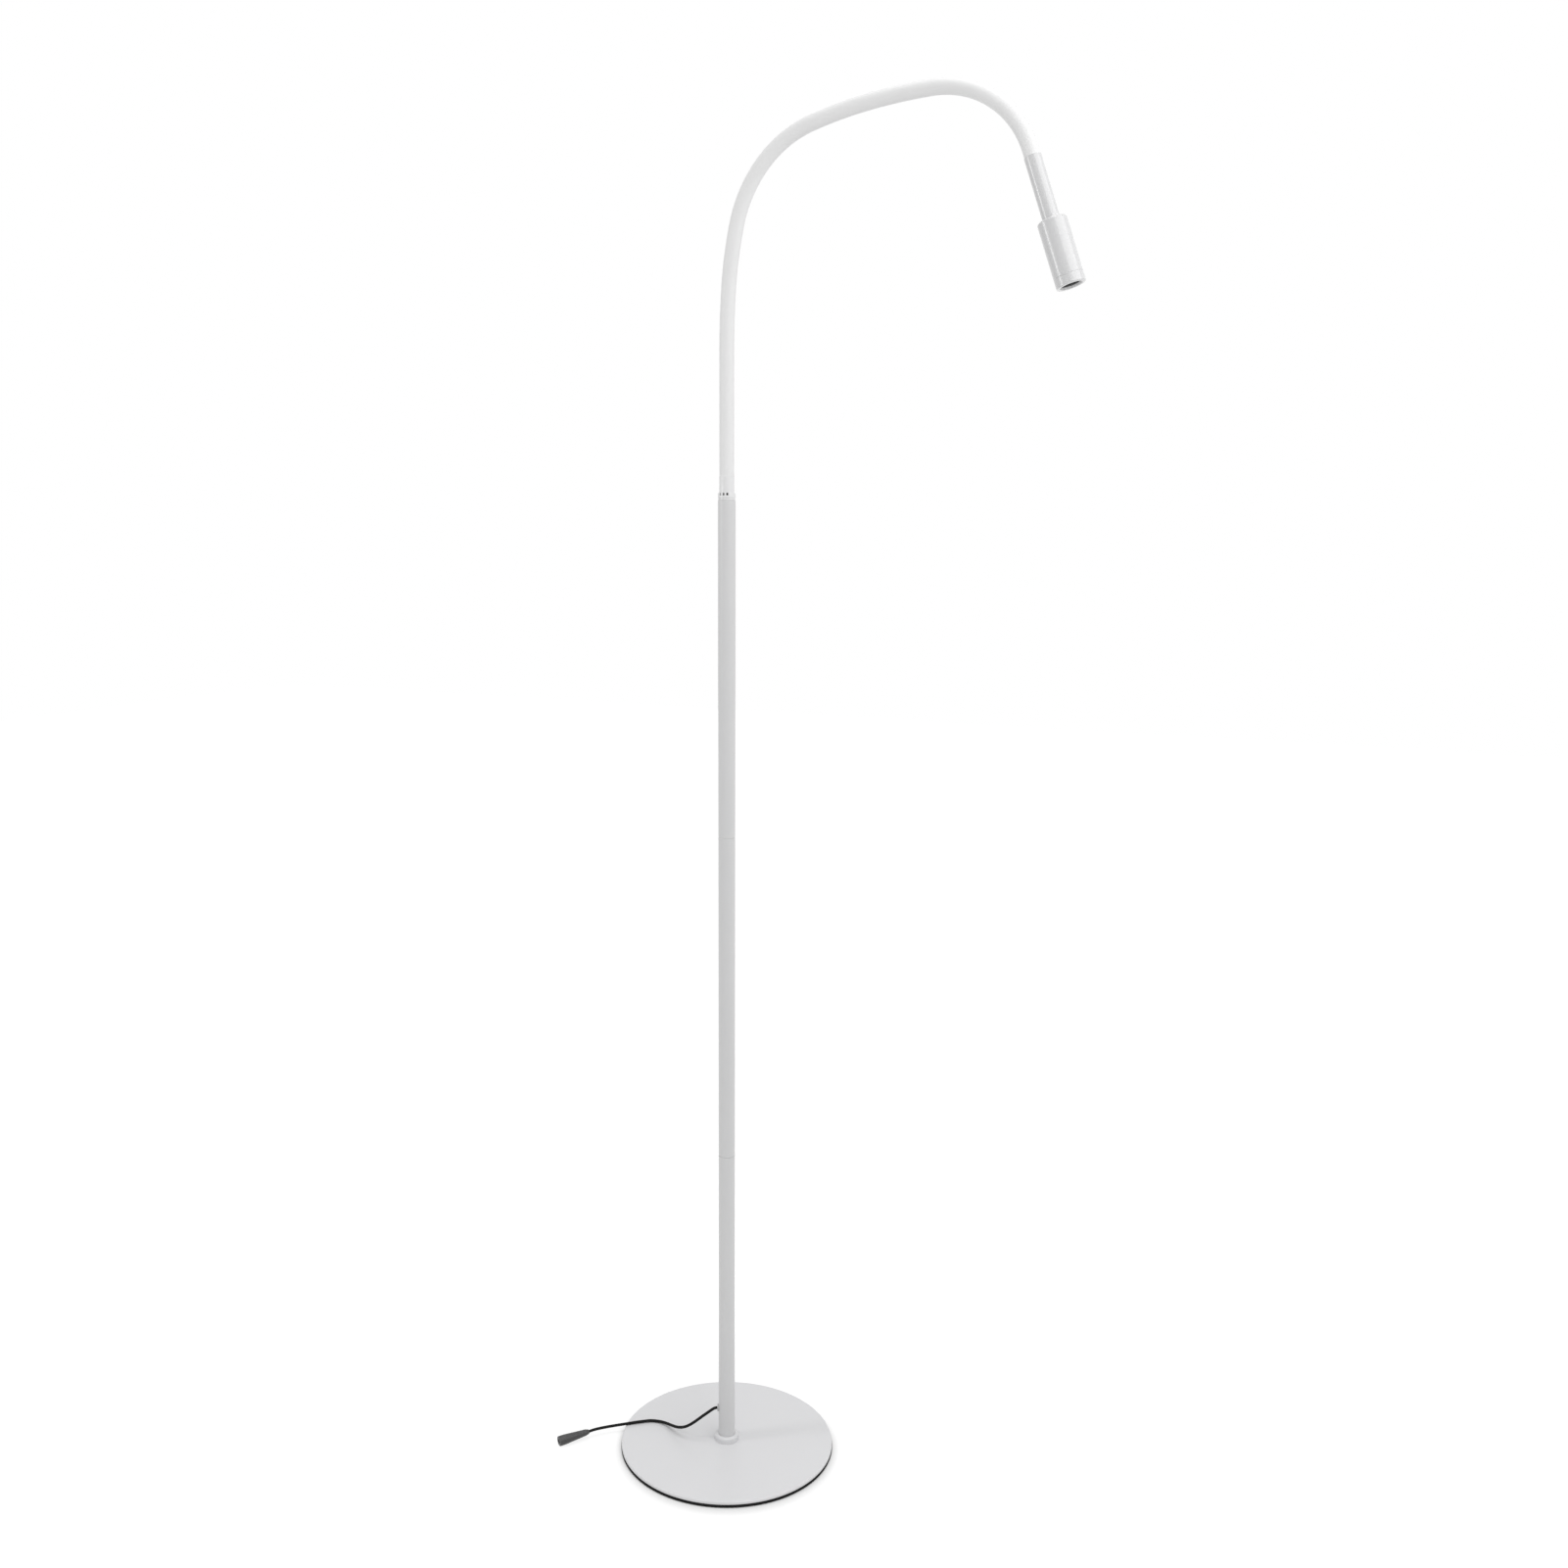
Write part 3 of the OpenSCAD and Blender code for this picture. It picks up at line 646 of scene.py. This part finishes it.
def addLockRing(sizes):
    low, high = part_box("lock_ring")
    radius = sizes["radius"]
    seat = high.z - sizes["pocketDepth"]
    corners = [
        (sizes["bore"], low.z, 0), (radius, low.z, sizes["underEdge"]), (radius, high.z, sizes["edge"]),
        (sizes["pocket"], high.z, 0), (sizes["pocket"], seat, 0), (sizes["bore"], seat, 0),
    ]
    piece = turnedPiece("lockRing", corners)
    middle = (radius + sizes["pocket"]) / 2
    for turn in sizes["notchTurns"]:
        clearSelection()
        angle = math.radians(turn)
        place = (middle * math.cos(angle), middle * math.sin(angle), high.z)
        bpy.ops.mesh.primitive_cube_add(
            size=1, location=place, rotation=(0, 0, angle),
            scale=(2 * (radius - sizes["pocket"]), sizes["notchWidth"], 2 * sizes["notchHeight"]),
        )
        cutAway(piece, bpy.context.object)
    softened = {"width": sizes["notchEdge"], "segments": sizes["notchSteps"], "limit_method": "ANGLE"}
    applied(piece, "BEVEL", softened)
    smooth(piece)
    standFor(piece, "stand", "white_alloy", "lock_ring")


addLockRing(lockRing)

# neck: a smooth sleeve along ten links, each link a round arc
neck = {
    "radius": 0.00825,
    "link": 0.0675,
    "turns": (0, 0, 4, 9, 29, 32, 8, 6, 36, 37),  # degrees
    "step": 0.0025,
    "roundSteps": 14,
    "cutGap": 0.00001,
    "smoothAngle": 40,
    "bendReach": 0.032,  # a distance each way from a joint, where points on the neck are found but not used
    "end": 0.0065,  # straight, past the last link
    "bodies": ["stand", *[f"neck_{k}" for k in range(2, 10)], "head"],
}
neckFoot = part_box("neck_sleeve_1")[0].z


# the point and the heading at a distance up the neck
def neckAt(distance):
    point = Vector((0, 0, neckFoot))
    heading = 0
    for turn in neck["turns"]:
        run = min(distance, neck["link"])
        angle = math.radians(turn) * run / neck["link"]
        chord = 2 * run / angle * math.sin(angle / 2) if angle else run
        middle = heading + angle / 2
        point += Vector((math.sin(middle), 0, math.cos(middle))) * chord
        heading += angle
        distance -= run
        if distance <= 0:
            break
    ahead = Vector((math.sin(heading), 0, math.cos(heading)))
    return point + ahead * max(distance, 0), ahead


def addSleeve(k, sizes):
    links = len(sizes["turns"])
    first = 0 if k == 1 else (k - 0.5) * sizes["link"]
    last = links * sizes["link"] + sizes["end"] if k == links - 1 else (k + 0.5) * sizes["link"]
    count = round((last - first) / sizes["step"])
    step = (last - first) / count
    shape = bpy.data.curves.new(f"neckSleeve{k}", "CURVE")
    shape.dimensions = "3D"
    shape.bevel_depth = sizes["radius"]
    shape.bevel_resolution = sizes["roundSteps"]
    spline = shape.splines.new("POLY")
    spline.points.add(count + 2)
    for i, knot in enumerate(spline.points):
        knot.co = (*neckAt(first + (i - 1) * step)[0], 1)
    piece = newPiece(f"neckSleeve{k}", shape)
    bpy.ops.object.convert(target="MESH")
    piece = bpy.context.object
    # the spare step at each end is cut off square, so neighbours meet ring to ring
    for distance, side in ((first, -1), (last, 1)):
        point, ahead = neckAt(distance)
        bpy.ops.object.mode_set(mode="EDIT")
        bpy.ops.mesh.select_all(action="SELECT")
        bpy.ops.mesh.bisect(
            plane_co=point, plane_no=ahead * side, use_fill=True, clear_outer=True,
            threshold=sizes["cutGap"],
        )
        bpy.ops.object.mode_set(mode="OBJECT")
    bpy.ops.object.shade_smooth_by_angle(angle=math.radians(sizes["smoothAngle"]))
    dress(piece, "white_sleeve")
    before = neckAt(k * sizes["link"] - sizes["bendReach"])[0]
    after = neckAt(k * sizes["link"] + sizes["bendReach"])[0]
    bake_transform(piece)
    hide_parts(*([f"neck_sleeve_{k + 1}"] if k > 1 else ["neck_sleeve_1", "neck_sleeve_2"]))


for k in range(1, len(neck["turns"])):
    addSleeve(k, neck)
print("neck made")

# head: stations in metres from the last link's end, along the head
head = {
    "ferruleRadius": 0.00875, "ferrule": 0.0065, "ferruleEdge": 0.0004, "ferruleEnd": 0.072,
    "coreBore": 0.00615, "coreEdge": 0.0002, "coreEnd": 0.0195,
    "leadBore": 0.0033, "stud": 0.0055, "studEnd": 0.082, "studEdge": 0.0004,
    "radius": 0.015, "bore": 0.0129, "end": 0.077, "shoulder": 0.0025, "seam": 0.130, "seamEdge": 0.0003,
    "mouth": 0.140, "mouthRadius": 0.0114, "rimEdge": 0.001, "innerEdge": 0.0003,
    "spigot": 0.124, "spigotRadius": 0.01275, "spigotEdge": 0.0003, "pocket": 0.01155,
    "window": 0.01055, "windowEdge": 0.0002, "lip": 0.1375, "lipEdge": 0.0006,
    "lensRadius": 0.0114, "lensFront": 0.134, "lensFrontEdge": 0.0002,
    "lensBack": 0.131, "lensBackEdge": 0.0001, "lensDome": 0.002, "domeGap": 0.00015, "domeSteps": 8,
}
neckEnd, headAhead = neckAt(len(neck["turns"]) * neck["link"])
headPlace = Matrix.Translation(neckEnd) @ Matrix.Rotation(math.atan2(headAhead.x, headAhead.z), 4, "Y")


def addUpperFerrule(sizes):
    corners = [
        (sizes["coreBore"], sizes["ferrule"], sizes["coreEdge"]),
        (sizes["ferruleRadius"], sizes["ferrule"], sizes["ferruleEdge"]),
        (sizes["ferruleRadius"], sizes["ferruleEnd"], 0), (sizes["stud"], sizes["ferruleEnd"], 0),
        (sizes["stud"], sizes["studEnd"], sizes["studEdge"]), (sizes["leadBore"], sizes["studEnd"], 0),
        (sizes["leadBore"], sizes["coreEnd"], 0), (sizes["coreBore"], sizes["coreEnd"], 0),
    ]
    piece = turnedPiece("upperFerrule", corners, headPlace)
    smooth(piece)
    standFor(piece, "head", "white_alloy", "upper_ferrule", material=headPaintPaintedShade)


def addHousing(sizes):
    corners = [
        (sizes["stud"], sizes["ferruleEnd"], 0), (sizes["radius"], sizes["ferruleEnd"], sizes["shoulder"]),
        (sizes["radius"], sizes["seam"], sizes["seamEdge"]), (sizes["bore"], sizes["seam"], 0),
        (sizes["bore"], sizes["end"], 0), (sizes["stud"], sizes["end"], 0),
    ]
    piece = turnedPiece("headHousing", corners, headPlace)
    smooth(piece)
    standFor(piece, "head", "white_alloy", "head_housing", material=headPaintPaintedShade)


def addBezel(sizes):
    corners = [
        (sizes["spigotRadius"], sizes["spigot"], sizes["spigotEdge"]),
        (sizes["spigotRadius"], sizes["seam"], 0), (sizes["radius"], sizes["seam"], sizes["seamEdge"]),
        (sizes["radius"], sizes["mouth"], sizes["rimEdge"]),
        (sizes["mouthRadius"], sizes["mouth"], sizes["innerEdge"]),
        (sizes["window"], sizes["lip"] + sizes["lipEdge"], sizes["windowEdge"]),
        (sizes["window"], sizes["lip"], 0),
        (sizes["pocket"], sizes["lip"], 0), (sizes["pocket"], sizes["spigot"], 0),
    ]
    piece = turnedPiece("frontBezel", corners, headPlace)
    smooth(piece)
    standFor(piece, "head", "white_alloy", "front_bezel", material=headPaintPaintedShade)


def addLens(sizes):
    edge = sizes["window"] - sizes["domeGap"]
    ballRadius = (edge ** 2 + sizes["lensDome"] ** 2) / (2 * sizes["lensDome"])
    sweep = math.asin(edge / ballRadius)
    crown = sizes["lensBack"] - sizes["lensDome"]
    corners = []
    for i in range(sizes["domeSteps"] + 1):
        angle = sweep * i / sizes["domeSteps"]
        corners.append((ballRadius * math.sin(angle), crown + ballRadius - ballRadius * math.cos(angle), 0))
    corners += [
        (sizes["lensRadius"], sizes["lensBack"], sizes["lensBackEdge"]),
        (sizes["lensRadius"], sizes["lensFront"], sizes["lensFrontEdge"]), (0, sizes["lensFront"], 0),
    ]
    piece = turnedPiece("lens", corners, headPlace)
    smooth(piece)
    standFor(piece, "head", "clear_glass", "lens")


addUpperFerrule(head)
addHousing(head)
addBezel(head)
addLens(head)
print("head made")

# lamps: place, the point that each one faces, size and power
lamps = {
    "rightSoftbox": {"at": (1.6, -0.5, 2.1), "faces": (0.25, 0, 1.4), "size": (2.1, 1.6), "power": 19.5},
    "leftStrip": {"at": (-1.55, -1.24, 1.55), "faces": (0.2, 0, 1.4), "size": (0.42, 0.9), "power": 8},
    "topSoftbox": {"at": (0.1, 0, 7), "faces": (0.1, 0, 0), "size": (3.5, 3.5), "power": 115},
}
room = {
    "fill": 0.48, "floorSize": 14, "floorDrop": 0.0002, "floorColour": grey(0.9), "floorGlow": 1.2,
    # painted shadow ring: round the rim the floor shows its diffuse shade, which holds the real contact
    # shadow and is grey even where lit, centred off towards the camera like a cast shadow; it fades at the
    # cord and is white from there
    "paintedShadowCentre": (0.0036, -0.0071, 0), "paintedShadowFrom": 0.124, "paintedShadowTo": 0.143, "cordShare": 0.6,
    "clearFrom": 0.15, "clearTo": 0.34,
}


def addLamp(name, look):
    place = Vector(look["at"])
    turn = (Vector(look["faces"]) - place).to_track_quat("-Z", "Y").to_euler()
    bpy.ops.object.light_add(type="AREA", location=place, rotation=turn)
    lamp = bpy.context.object
    lamp.name = name
    lamp.data.shape = "RECTANGLE"
    lamp.data.size, lamp.data.size_y = look["size"]
    lamp.data.energy = look["power"]
    lamp.visible_camera = False


# rays that see the white background: the camera's own, those off gloss and those through glass
def seenRays(tree):
    kinds = ("Is Camera Ray", "Is Glossy Ray", "Is Transmission Ray")
    camera, glossy, through = (Wire.node(tree, "ShaderNodeLightPath", {}, {}, kind) for kind in kinds)
    return camera + glossy + through


def addFloor(look):
    clearSelection()
    bpy.ops.mesh.primitive_plane_add(size=look["floorSize"], location=(0, 0, -look["floorDrop"]))
    floor = bpy.context.object
    floor.name = "floor"
    material = newMaterial("paleFloor")
    tree = material.node_tree
    place = Wire.node(tree, "ShaderNodeTexCoord", {}, {}, "Object")
    # painted shadow: a ring of grey diffuse floor round the rim, centred off towards the camera, with the
    # real shadow in it; white emission beyond
    ends = {0: place, 1: look["paintedShadowCentre"]}
    away = Wire.node(tree, "ShaderNodeVectorMath", {"operation": "DISTANCE"}, ends, "Value")
    paintedShadowFade = stretchRange(tree, away, look["paintedShadowFrom"], look["paintedShadowTo"])
    beyond = stretchRange(tree, away, look["clearFrom"], look["clearTo"])
    share = paintedShadowFade * look["cordShare"] + beyond * (1 - look["cordShare"])
    pale = Wire.node(tree, "ShaderNodeBsdfDiffuse", {}, {"Color": look["floorColour"]})
    white = Wire.node(tree, "ShaderNodeEmission", {}, {"Color": grey(1.0), "Strength": look["floorGlow"]})
    mixed = Wire.node(tree, "ShaderNodeMixShader", {}, {0: share * seenRays(tree), 1: pale, 2: white})
    Wire.node(tree, "ShaderNodeOutputMaterial", {}, {"Surface": mixed})
    floor.data.materials.append(material)


def lightRoom(look):
    world = bpy.data.worlds.new("room")
    world.use_nodes = True
    tree = world.node_tree
    tree.nodes.clear()
    colour = tint(tree, seenRays(tree), grey(look["fill"]), grey(1.0))
    back = Wire.node(tree, "ShaderNodeBackground", {}, {"Color": colour, "Strength": 1.0})
    Wire.node(tree, "ShaderNodeOutputWorld", {}, {"Surface": back})
    bpy.context.scene.world = world
    bpy.context.scene.view_settings.view_transform = "Standard"


for name, look in lamps.items():
    addLamp(name, look)
addFloor(room)
lightRoom(room)
print("room lit")
